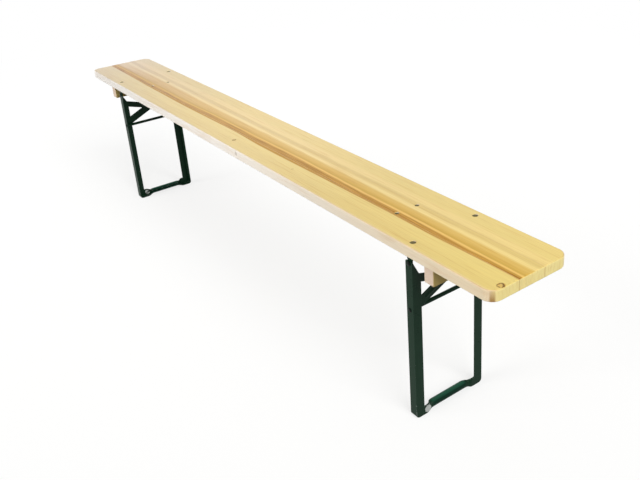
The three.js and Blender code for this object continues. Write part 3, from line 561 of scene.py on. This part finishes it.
def planed_spruce(look):
    """Spruce, planed and left bare.

    The eye sees dull pinkish wood with rings that run along each batten and show as arcs on its sawn ends.
    """
    material, add, point, normal = new_material("planed_spruce")
    place = add("SeparateXYZ", [point]).outputs
    turned = add("CombineXYZ", (place["Y"], place["X"], place["Z"]))
    along = add("SeparateXYZ", [turned]).outputs
    ripple = drawn_out(add, turned, (0.25, 1, 1), 65, normalize=False)
    side = add("Math", (ripple, 1.5 * MM, along["Y"]), "MULTIPLY_ADD")
    late = growth_rings(add, look, along, side, BATTEN_PITH)

    # Fibres are drawn 1.2 mm wide, coarser than the real ones, to show at this size
    fibres = drawn_out(add, turned, (0.03, 1, 1), 850, detail=3)
    facing = add("SeparateXYZ", [normal]).outputs["Y"]
    end_facing = add("Math", [facing], "ABSOLUTE")
    on_sides = add("MapRange", (end_facing, 0.6, 0.9, 1, 0))
    contrast = add("MapRange", (end_facing, 0.6, 0.9, 0.35, 0.6))
    edge = add("Attribute", attribute_name="edge_wear").outputs["Fac"]
    layers = (
        ([on_sides], look.batten_tint, "MULTIPLY"),
        ((late, contrast), look.late_tint, "MULTIPLY"),
        ([1.0], add("MapRange", (fibres, 0.3, 0.7, 0.93, 1.05)), "MULTIPLY"),
        ((edge, 0.25), look.dark_wood),
    )
    relief = add("Math", (late, 0.5, fibres), "MULTIPLY_ADD")
    return with_surface(material, add, relief, 0.5, 0.15 * MM, {
        "Base Color": layered(add, look.batten_wood, layers),
        "Roughness": add("MapRange", (fibres, 0.3, 0.7, 0.55, 0.72)),
        "Specular IOR Level": 0.3,
    })


def fir_green_powder_coat(steel):
    """Mild steel, sprayed with powder and baked.

    The eye sees a deep green gloss with a faint orange peel, thin and paler over the edges, partly as a
    painted glint, and knocked off to bare steel in small patches there and where the foot bars are pressed
    round, where the bare patch also serves as a painted glint. The foot bars' rounds carry a painted highlight
    above and painted shade below.
    """
    material, add, point, normal = new_material("fir_green_powder_coat")
    place = add("SeparateXYZ", [point]).outputs
    mirrored = add("VectorMath", [point], "ABSOLUTE")
    from_middle = add("SeparateXYZ", [mirrored]).outputs
    edge = add("Attribute", attribute_name="edge_wear").outputs["Fac"]

    # Chips are 2 to 8 mm across, and commoner near the floor
    chips = add("TexNoise", {"Vector": point, "Scale": 160, "Detail": 3, "Roughness": 0.6})
    near_floor = add("MapRange", (place["Z"], 20 * MM, 80 * MM, 0.16, 0))
    chance = add("Math", (chips, near_floor), "ADD")
    sill = 0.74 - 0.2 * steel.wear
    chipped = add("MapRange", (chance, sill, sill + 0.05))
    chipped_edge = add("Math", (chipped, edge), "MULTIPLY")

    # The coat has flaked off the front end of each foot bar's round, and the bare patch there also serves as a
    # painted glint
    either_end = add("CombineXYZ", (from_middle["X"], place["Y"], place["Z"]))
    flake_reach = add("VectorMath", (either_end, FLAKED_GLINT_SPOT), "DISTANCE")
    ragged = add("Math", (chips, 6 * MM, flake_reach), "MULTIPLY_ADD")
    flaked_and_glint = add("MapRange", (ragged, 12 * MM, 13.5 * MM, 0.9, 0))
    bare = add("Math", (chipped_edge, flaked_and_glint), "MAXIMUM")

    # The coat is thinner in clouds of 45 mm, and over the edges, where its paler tone is partly a painted
    # glint
    clouds = add("TexNoise", {"Vector": point, "Scale": 22, "Detail": 4})
    thin = add("MapRange", (clouds, 0.4, 0.75, 0, 0.12))
    thin_and_glint = add("Math", (edge, 0.5, thin), "MULTIPLY_ADD")

    # Painted light: the round of each foot bar has a painted highlight above and painted shade below
    facing_up = add("SeparateXYZ", [normal]).outputs["Z"]
    highlight_share = add("MapRange", (facing_up, 0.6, 1.0))
    lit_bar_tone = layered(add, steel.coat_deep, [([highlight_share], steel.coat_rubbed)])
    across = add("MapRange", (from_middle["Y"], *ROUND_ENDS, 1, 0))
    low_down = add("MapRange", (from_middle["Z"], *ROUND_TOP, 1, 0))
    layers = [([thin_and_glint], steel.coat_thin), ((across, low_down), lit_bar_tone)]

    # Grease has spread round the heads of the rivets and the tie rods
    for node in ("hinge_rivet_right_rear", "tie_rod_right"):
        low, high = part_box(node)
        head = ((low.x + high.x) / 2, high.y, (low.z + high.z) / 2)
        radius = (high.z - low.z) / 2
        head_reach = add("VectorMath", (mirrored, head), "DISTANCE")
        greased = add("MapRange", (head_reach, radius, 1.4 * radius, 0.85, 0))
        layers.append(([greased], steel.grease))
    layers.append(([bare], steel.bare_steel))

    # Orange peel is 3 mm from crest to crest, and fine dust marks 0.8 mm
    peel = add("TexNoise", {"Vector": point, "Scale": 330, "Detail": 1})
    dust = add("TexNoise", {"Vector": point, "Scale": 1250, "Detail": 1})
    relief = add("Math", (dust, 0.25, peel), "MULTIPLY_ADD")
    pitted = add("Math", (bare, -0.8, relief), "MULTIPLY_ADD")
    return with_surface(material, add, pitted, 0.35, 0.08 * MM, {
        "Base Color": layered(add, steel.coat_green, layers),
        "Metallic": bare,
        "Roughness": add("MapRange", (clouds, 0.3, 0.7, 0.24, 0.36)),
        "Specular IOR Level": 0.08,
    })


def zinc_plated_steel(steel):
    """Steel, barrel plated with zinc.

    The eye sees a pale grey metal with a cloudy sheen, blurred drawing marks and a few dull spots.
    """
    material, add, point, _ = new_material("zinc_plated_steel")

    # Clouds of 8 mm from the barrel, and drawing marks 0.7 mm apart, coarser than real to show
    clouds = add("TexNoise", {"Vector": point, "Scale": 130, "Detail": 4, "Roughness": 0.6})
    marks = drawn_out(add, point, (0.06, 1, 1), 1400)
    edge = add("Attribute", attribute_name="edge_wear").outputs["Fac"]
    layers = (
        ([add("MapRange", (clouds, 0.35, 0.7, 0, 0.55))], steel.zinc_dull),
        ((edge, 0.5), steel.zinc_bright),
    )
    return with_surface(material, add, marks, 0.3, 0.05 * MM, {
        "Base Color": layered(add, steel.zinc, layers),
        "Metallic": 1.0,
        "Roughness": add("MapRange", (clouds, 0.3, 0.7, 0.3, 0.48)),
    })


def dulled_bolt_steel(steel):
    """Bolt steel, cold headed and left in the weather.

    The eye sees a dark olive grey head, dull and slightly pitted, with tarnish in small spots.
    """
    material, add, point, _ = new_material("dulled_bolt_steel")

    # Tarnish spots of 2 mm and pits of 0.6 mm
    spots = add("TexNoise", {"Vector": point, "Scale": 520, "Detail": 4, "Roughness": 0.65})
    pits = add("TexVoronoi", {"Vector": point, "Scale": 1600})
    tarnished = add("MapRange", (spots, 0.4, 0.65, 0, 0.6))
    return with_surface(material, add, pits, 0.4, 0.06 * MM, {
        "Base Color": layered(add, steel.bolt_steel, [([tarnished], steel.tarnish)]),
        "Metallic": 0.6,
        "Roughness": add("MapRange", (spots, 0.3, 0.7, 0.38, 0.62)),
    })


# The finish of each of the record's steel slots, and the word for it that a piece's name ends in
STEEL_FINISHES = {
    "green_coat": (fir_green_powder_coat, "coated"),
    "zinc_steel": (zinc_plated_steel, "plated"),
    "dark_steel": (dulled_bolt_steel, "dulled"),
}


def nodes_named(*stems):
    """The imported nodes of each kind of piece."""
    found = []
    for stem in stems:
        nodes = sorted(node for node in BODY_OF if node == stem or node.startswith(stem + "_"))
        if not nodes:
            raise RuntimeError(f"the packed model has no piece named {stem}")
        found += nodes
    return found


def new_object(name, data):
    """An object in the scene."""
    made = bpy.data.objects.new(name, data)
    bpy.context.scene.collection.objects.link(made)
    return made


def dress(node, mesh, material, suffix):
    """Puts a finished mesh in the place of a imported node, on the same body."""
    mesh.materials.append(material)
    mesh.shade_smooth()
    mesh.set_sharp_from_angle(angle=CREASE_ANGLE)
    piece = new_object(f"{node}_{suffix}", mesh)
    evening = piece.modifiers.new("even_flat_faces", "WEIGHTED_NORMAL")
    evening.keep_sharp = True
    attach(piece, BODY_OF[node])
    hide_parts(node)


def dress_in_steel(node, mesh, slot):
    """Dresses a steel piece in its slot's finish, made the first time that a piece asks for it."""
    make, suffix = STEEL_FINISHES[slot]
    material = bpy.data.materials.get(make.__name__) or make(bpy.context.scene.bench_steel)
    dress(node, mesh, material, suffix)


def made_mesh(name, bm):
    """The mesh of what was built."""
    mesh = bpy.data.meshes.new(name)
    bm.to_mesh(mesh)
    bm.free()
    return mesh


def mark_edge_wear(bm, rounded_faces=()):
    """Marks the points that lie wholly inside a rounded edge, where hands and boots rub."""
    layer = bm.verts.layers.float.new("edge_wear")
    rounded = set(rounded_faces)
    for vert in bm.verts:
        vert[layer] = 1.0 if rounded and all(face in rounded for face in vert.link_faces) else 0.0


def softened_solid(node, rounding):
    """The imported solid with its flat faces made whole, and its outward edges rounded where there is room."""
    bm = bmesh.new()
    bm.from_mesh(frame["nodes"][node].data)
    for layer in list(bm.loops.layers.uv):
        bm.loops.layers.uv.remove(layer)
    bmesh.ops.remove_doubles(bm, verts=bm.verts, dist=SHORTEST_EDGE)
    bmesh.ops.dissolve_limit(bm, angle_limit=FLAT_ANGLE, verts=bm.verts, edges=bm.edges)
    sharp = {edge for edge in bm.edges if edge.calc_face_angle(0) > SHARP_ANGLE}

    least_length, least_side = LEAST_LENGTH * rounding, LEAST_SIDE * rounding

    def has_room(edge):
        sides = (side.calc_length() for vert in edge.verts for side in vert.link_edges if side not in sharp)
        return edge.calc_length() > least_length and all(side > least_side for side in sides)

    rounded = []
    if rounding:
        edges = [edge for edge in bm.edges if edge in sharp and edge.is_convex and has_room(edge)]
        rounded = bmesh.ops.bevel(
            bm, geom=edges, offset=rounding, offset_type="OFFSET", segments=2, profile=0.5, affect="EDGES",
            clamp_overlap=False,
        )["faces"]
    mark_edge_wear(bm, rounded)
    return made_mesh(node + "_softened", bm)


def dress_in_softened_steel(stems, rounding, slot):
    """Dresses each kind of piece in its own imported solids, softened."""
    for node in nodes_named(*stems):
        dress_in_steel(node, softened_solid(node, rounding), slot)


def ringed_solid(name, rings):
    """A closed solid through rings of points, which may begin and end in a single point."""
    bm = bmesh.new()
    rings = [[bm.verts.new(point) for point in ring] for ring in rings]
    steps = max(len(ring) for ring in rings)
    closing = [(rings[-1], rings[0])] if len(rings[0]) > 1 else []
    for lower, upper in [*zip(rings, rings[1:]), *closing]:
        for step in range(steps):
            ahead = (step + 1) % steps
            corners = (lower[step % len(lower)], lower[ahead % len(lower)],
                       upper[ahead % len(upper)], upper[step % len(upper)])
            face = list(dict.fromkeys(corners))
            if len(face) > 2:
                bm.faces.new(face)
    bmesh.ops.recalc_face_normals(bm, faces=bm.faces)
    mark_edge_wear(bm)
    return made_mesh(name, bm)


def dress_in_turned_steel(node, profile, matrix, slot):
    """Dresses a piece turned on a lathe: a profile of (radius, height), spun about Z and set in place."""
    facets = bpy.context.scene.bench_steel.facets
    rings = []
    for radius, height in profile:
        turns = (2 * math.pi * step / facets for step in range(facets if radius else 1))
        rings.append([(radius * math.cos(turn), radius * math.sin(turn), height) for turn in turns])
    mesh = ringed_solid(node + "_turned", rings)
    mesh.transform(matrix)
    dress_in_steel(node, mesh, slot)


def both_ways(half):
    """A profile of (radius, height) that is the same below the middle as above it."""
    return [(radius, -height) for radius, height in reversed(half)] + half


def dome(radius, base, top, rim_share=1 / 3, steps=8):
    """The profile of a low domed head, from its rim's foot to its crown."""
    rim = base + (top - base) * rim_share
    arc = []
    for step in range(steps):
        turn = math.pi / 2 * step / steps
        arc.append((radius * math.cos(turn), rim + (top - rim) * math.sin(turn)))
    return [(radius, base), *arc, (0, top)]


def outward_across(node):
    """Sets a piece that stands on Z across the bench instead, with its head away from the middle."""
    low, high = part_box(node)
    middle = (low + high) / 2
    turn = -math.pi / 2 if middle.y > 0 else math.pi / 2
    return Matrix.Translation((middle.x, 0, middle.z)) @ Matrix.Rotation(turn, 4, "X")


class BENCH_OT_seat_planks(bpy.types.Operator):
    """Makes the three planks of the seat, with softened glue joints and bolt holes"""

    bl_idname = "bench.seat_planks"
    bl_label = "Seat Planks"

    def execute(self, context):
        look = context.scene.bench_seat
        planks = (
            ("plank_front", FRONT_BANDS, FRONT_PITH, "pale_plank"),
            ("plank_middle", MIDDLE_BANDS, MIDDLE_PITH, "striped_plank"),
            ("plank_rear", REAR_BANDS, REAR_PITH, "pale_plank"),
        )
        for node, bands, pith, slot in planks:
            material = lacquered_spruce(f"lacquered_spruce_{node}", look, bands, pith)
            dress(node, softened_solid(node, look.edge_rounding), material, "lacquered")
        return {"FINISHED"}


class BENCH_OT_battens(bpy.types.Operator):
    """Makes the bare wooden battens under the seat and the countersunk screws that hold them"""

    bl_idname = "bench.battens"
    bl_label = "Battens and Screws"

    def execute(self, context):
        look = context.scene.bench_seat
        material = planed_spruce(look)
        for node in nodes_named("batten_right", "batten_left"):
            dress(node, softened_solid(node, look.batten_rounding), material, "planed")
        dress_in_softened_steel(["batten_screw"], 0, "zinc_steel")
        return {"FINISHED"}


class BENCH_OT_leg_frames(bpy.types.Operator):
    """Makes the leg frames, the cross plates that brace them, and the brackets that carry them"""

    bl_idname = "bench.leg_frames"
    bl_label = "Leg Frames and Brackets"

    def execute(self, context):
        steel = context.scene.bench_steel
        dress_in_softened_steel(["leg_frame"], steel.frame_rounding, "green_coat")
        dress_in_softened_steel(["cross_plate"], THIN_SHEET * steel.sheet_rounding, "green_coat")
        dress_in_softened_steel(["hinge_bracket"], steel.sheet_rounding, "green_coat")
        return {"FINISHED"}


class BENCH_OT_rivets_and_rods(bpy.types.Operator):
    """Makes the rivets on which the leg frames fold, and the rods that tie their posts together"""

    bl_idname = "bench.rivets_and_rods"
    bl_label = "Rivets and Tie Rods"

    def execute(self, context):
        steel = context.scene.bench_steel
        shank = steel.shank_radius
        head_height, tail_height, tail_radius, soft = 2.4 * MM, 1.2 * MM, 4.5 * MM, 0.4 * MM
        for node in nodes_named("hinge_rivet"):
            low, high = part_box(node)
            inner, outer = sorted((abs(low.y), abs(high.y)))
            tail, seat = inner + tail_height, outer - head_height
            profile = [(0, inner), (tail_radius - soft, inner), (tail_radius, inner + soft),
                       (tail_radius, tail), (shank, tail), (shank, seat),
                       *dome((high.x - low.x) / 2, seat, outer)]
            dress_in_turned_steel(node, profile, outward_across(node), "green_coat")

        # A tenon runs through the 3 mm angle steel, with 0.3 mm of play on either side of it
        rod, tenon, head_height, post_steel = 5 * MM, 2.5 * MM, 1.8 * MM, 3.6 * MM
        for node in nodes_named("tie_rod"):
            low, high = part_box(node)
            seat = high.y - head_height
            shoulder = seat - post_steel
            half = [(rod, shoulder), (tenon, shoulder), (tenon, seat),
                    *dome((high.z - low.z) / 2, seat, high.y)]
            dress_in_turned_steel(node, both_ways(half), outward_across(node), "green_coat")
        return {"FINISHED"}


class BENCH_OT_seat_bolts(bpy.types.Operator):
    """Makes the domed bolts that are let into the seat, and their nuts and washers under it"""

    bl_idname = "bench.seat_bolts"
    bl_label = "Seat Bolts, Nuts and Washers"

    def execute(self, context):
        steel = context.scene.bench_steel
        shank = steel.shank_radius
        threads, pitch, thread_depth = 8, 1.0 * MM, 0.45 * MM
        for node in nodes_named("bracket_bolt", "keeper_bolt"):
            low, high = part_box(node)
            seat = high.z - steel.bolt_head_height
            profile = [(0, low.z)]
            for turn in range(threads):
                root = low.z + pitch * turn
                profile += [(shank - thread_depth, root), (shank, root + pitch / 2)]
            profile += [(shank, seat), *dome((high.x - low.x) / 2, seat, high.z)]
            centre = (low + high) / 2
            upright = Matrix.Translation((centre.x, centre.y, 0))
            dress_in_turned_steel(node, profile, upright, "dark_steel")
        for node in nodes_named("bracket_nut", "keeper_nut"):
            dress_in_steel(node, chamfered_nut(node, steel), "zinc_steel")
        soft, play = 0.2 * MM, 0.3 * MM
        for node in nodes_named("bracket_washer"):
            low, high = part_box(node)
            bore, rim, top = shank + play, (high.y - low.y) / 2, (high.z - low.z) / 2
            half = [(rim, top - soft), (rim - soft, top), (bore + soft, top), (bore, top - soft)]
            in_place = Matrix.Translation((low + high) / 2)
            dress_in_turned_steel(node, both_ways(half), in_place, "zinc_steel")
        return {"FINISHED"}


def chamfered_nut(node, steel):
    """A hexagon nut whose corners are turned off at 30 degrees on both faces."""
    low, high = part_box(node)
    half_width, top = steel.nut_width / 2, (high.z - low.z) / 2
    steps, corner, chamfer = 72, math.radians(60), math.radians(30)
    chamfer_from = half_width * 0.97
    bore, soft = steel.shank_radius + 0.1 * MM, 0.4 * MM
    columns = []
    for step in range(steps):
        turn = 2 * math.pi * step / steps
        hexagon = half_width / math.cos(turn % corner - corner / 2)
        drop = max(0, hexagon - chamfer_from) * math.tan(chamfer)
        half = [(hexagon, top - drop), (chamfer_from, top), (bore + soft, top), (bore, top - soft)]
        across, along = math.cos(turn + corner / 2), math.sin(turn + corner / 2)
        columns.append([(radius * across, radius * along, height) for radius, height in both_ways(half)])
    mesh = ringed_solid(node + "_chamfered", zip(*columns))
    mesh.transform(Matrix.Translation((low + high) / 2))
    return mesh


class BENCH_OT_lock_stays(bpy.types.Operator):
    """Makes the flat stays that hold the legs open, their pins and the keepers under the seat"""

    bl_idname = "bench.lock_stays"
    bl_label = "Lock Stays and Keepers"

    def execute(self, context):
        steel = context.scene.bench_steel
        rounding = THIN_SHEET * steel.sheet_rounding
        dress_in_softened_steel(["lock_stay", "stay_keeper"], rounding, "zinc_steel")
        shank, head_height, soft = steel.shank_radius, 2 * MM, 0.4 * MM
        for node in nodes_named("stay_pin"):
            low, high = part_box(node)
            head, end = (high.z - low.z) / 2, high.y
            half = [(shank, end - head_height), (head, end - head_height), (head, end - soft),
                    (head - soft, end), (0, end)]
            dress_in_turned_steel(node, both_ways(half), outward_across(node), "zinc_steel")
        return {"FINISHED"}


def seen_itself(add, ray):
    """1 for the rays that show the stage itself: straight to the camera, in a gloss or through glass."""
    looked_at = add("Math", (ray["Is Camera Ray"], ray["Is Glossy Ray"]), "ADD")
    return add("Math", (looked_at, ray["Is Transmission Ray"]), "ADD", use_clamp=True)


def matt_white_floor(stage):
    """A matt white sheet that keeps the bench's shadow and fades to plain white further off."""
    material, add, point, _ = new_material("matt_white_floor")
    reach = add("VectorMath", [point], "LENGTH")
    ray = add("LightPath").outputs

    # Grit of 2.5 mm, coarser than the real sheet's
    grit = add("TexNoise", {"Vector": point, "Scale": 400, "Detail": 2})
    bump = add("Bump", {"Strength": 0.1, "Distance": 0.1 * MM, "Height": grit})

    # What the floor throws back up at the bench is dimmer than what the eye sees of it, which fades
    # to white between 1.2 and 3.5 m from its middle
    tone = layered(add, stage.floor, [([ray["Is Diffuse Ray"]], stage.floor_bounce)])
    sheet = add("BsdfDiffuse", {"Color": tone, "Roughness": 0.6, "Normal": bump})
    white = add("Emission", {"Color": (1, 1, 1), "Strength": 1.0})
    fading = add("MapRange", (reach, 1.2, 3.5, 0.7, 1))
    whitened = add("Math", (seen_itself(add, ray), fading), "MULTIPLY")
    top = add("MixShader", (whitened, sheet, white))

    # From below, the floor lets the bench be seen
    below = add("NewGeometry").outputs["Backfacing"]
    through = add("Math", (below, ray["Is Camera Ray"]), "MULTIPLY")
    surface = add("MixShader", (through, top, add("BsdfTransparent")))
    add("OutputMaterial", {"Surface": surface})
    return material


class BENCH_OT_stage(bpy.types.Operator):
    """Makes the floor, the soft light and the camera"""

    bl_idname = "bench.stage"
    bl_label = "Stage"

    def execute(self, context):
        stage = context.scene.bench_stage
        self.lay_floor(stage)
        self.light_room(context, stage)
        self.set_camera(context, stage)
        context.scene.view_settings.view_transform = "Standard"
        return {"FINISHED"}

    def lay_floor(self, stage):
        bm = bmesh.new()
        bmesh.ops.create_circle(bm, cap_ends=True, segments=96, radius=stage.floor_radius)
        floor = new_object("floor", made_mesh("floor", bm))
        floor.data.materials.append(matt_white_floor(stage))

    def light_room(self, context, stage):
        world = bpy.data.worlds.new("white_room")
        context.scene.world = world
        world.use_nodes = True
        world.node_tree.nodes.clear()
        add = partial(add_node, world.node_tree)

        # The even light comes mostly from above
        height = add("SeparateXYZ", [add("TexCoord").outputs["Generated"]]).outputs["Z"]
        strength = add("MapRange", (height, 0, 1, stage.wall_light, stage.ceiling_light))
        light = add("Background", {"Color": (1, 1, 1), "Strength": strength})
        white = add("Background", {"Color": (1, 1, 1), "Strength": 1.0})
        seen = seen_itself(add, add("LightPath").outputs)
        add("OutputWorld", {"Surface": add("MixShader", (seen, light, white))})

        # Both lamps are as soft as a disc 40 degrees wide. The key lamp is low, and the lacquer doesn't
        # mirror it, or the seat would glare when seen from behind
        softness = math.radians(40)
        lamps = (
            ("key_lamp", stage.key, Vector((-0.25, -0.9, 0.34)), False),
            ("fill_lamp", stage.fill, Vector((0.8, -0.1, 0.6)), True),
        )
        for name, energy, towards, gleams in lamps:
            lamp = bpy.data.lights.new(name, "SUN")
            lamp.energy = energy
            lamp.angle = softness
            placed = new_object(name, lamp)
            placed.rotation_euler = towards.to_track_quat("Z", "Y").to_euler()
            placed.visible_glossy = gleams

    def set_camera(self, context, stage):
        a, e, r = stage.azimuth, stage.elevation, stage.roll
        back = Vector((math.sin(a) * math.cos(e), -math.cos(a) * math.cos(e), math.sin(e)))
        level = Vector((math.cos(a), math.sin(a), 0))
        upright = back.cross(level)
        right = level * math.cos(r) + upright * math.sin(r)
        up = upright * math.cos(r) - level * math.sin(r)
        matrix = Matrix((right, up, back)).transposed().to_4x4()
        matrix.translation = Vector(stage.target) + back * stage.distance
        lens = bpy.data.cameras.new("camera")
        lens.sensor_width = SENSOR_WIDTH
        lens.lens = stage.focal_pixels / IMAGE_WIDTH * SENSOR_WIDTH
        lens.shift_x = (IMAGE_WIDTH / 2 - stage.centre_pixels[0]) / IMAGE_WIDTH
        lens.shift_y = (stage.centre_pixels[1] - IMAGE_HEIGHT / 2) / IMAGE_WIDTH
        lens.clip_start, lens.clip_end = 0.05, 60
        camera = new_object("camera", lens)
        camera.matrix_world = matrix
        context.scene.camera = camera


PIECE_OPERATORS = (
    BENCH_OT_seat_planks, BENCH_OT_battens, BENCH_OT_leg_frames, BENCH_OT_rivets_and_rods,
    BENCH_OT_seat_bolts, BENCH_OT_lock_stays,
)


class BENCH_PT_sidebar(bpy.types.Panel):
    """Lists the bench's pieces, its stage and their settings"""

    bl_idname = "BENCH_PT_sidebar"
    bl_label = "Folding Bench"
    bl_space_type = "VIEW_3D"
    bl_region_type = "UI"
    bl_category = "Folding Bench"

    def draw(self, context):
        layout = self.layout
        for operator in (*PIECE_OPERATORS, BENCH_OT_stage):
            layout.operator(operator.bl_idname)
        for settings in (context.scene.bench_seat, context.scene.bench_steel, context.scene.bench_stage):
            box = layout.box()
            for field in settings.__annotations__:
                box.prop(settings, field)


CLASSES = (SeatSettings, SteelSettings, StageSettings, *PIECE_OPERATORS, BENCH_OT_stage, BENCH_PT_sidebar)


def register():
    for cls in CLASSES:
        bpy.utils.register_class(cls)
    bpy.types.Scene.bench_seat = PointerProperty(type=SeatSettings)
    bpy.types.Scene.bench_steel = PointerProperty(type=SteelSettings)
    bpy.types.Scene.bench_stage = PointerProperty(type=StageSettings)


def unregister():
    del bpy.types.Scene.bench_stage
    del bpy.types.Scene.bench_steel
    del bpy.types.Scene.bench_seat
    for cls in reversed(CLASSES):
        bpy.utils.unregister_class(cls)


def main():
    """Makes every piece and the stage."""
    register()
    bpy.ops.bench.stage()
    bpy.ops.bench.seat_planks()
    bpy.ops.bench.battens()
    bpy.ops.bench.leg_frames()
    bpy.ops.bench.rivets_and_rods()
    bpy.ops.bench.seat_bolts()
    bpy.ops.bench.lock_stays()


if __name__ == "__main__":
    main()
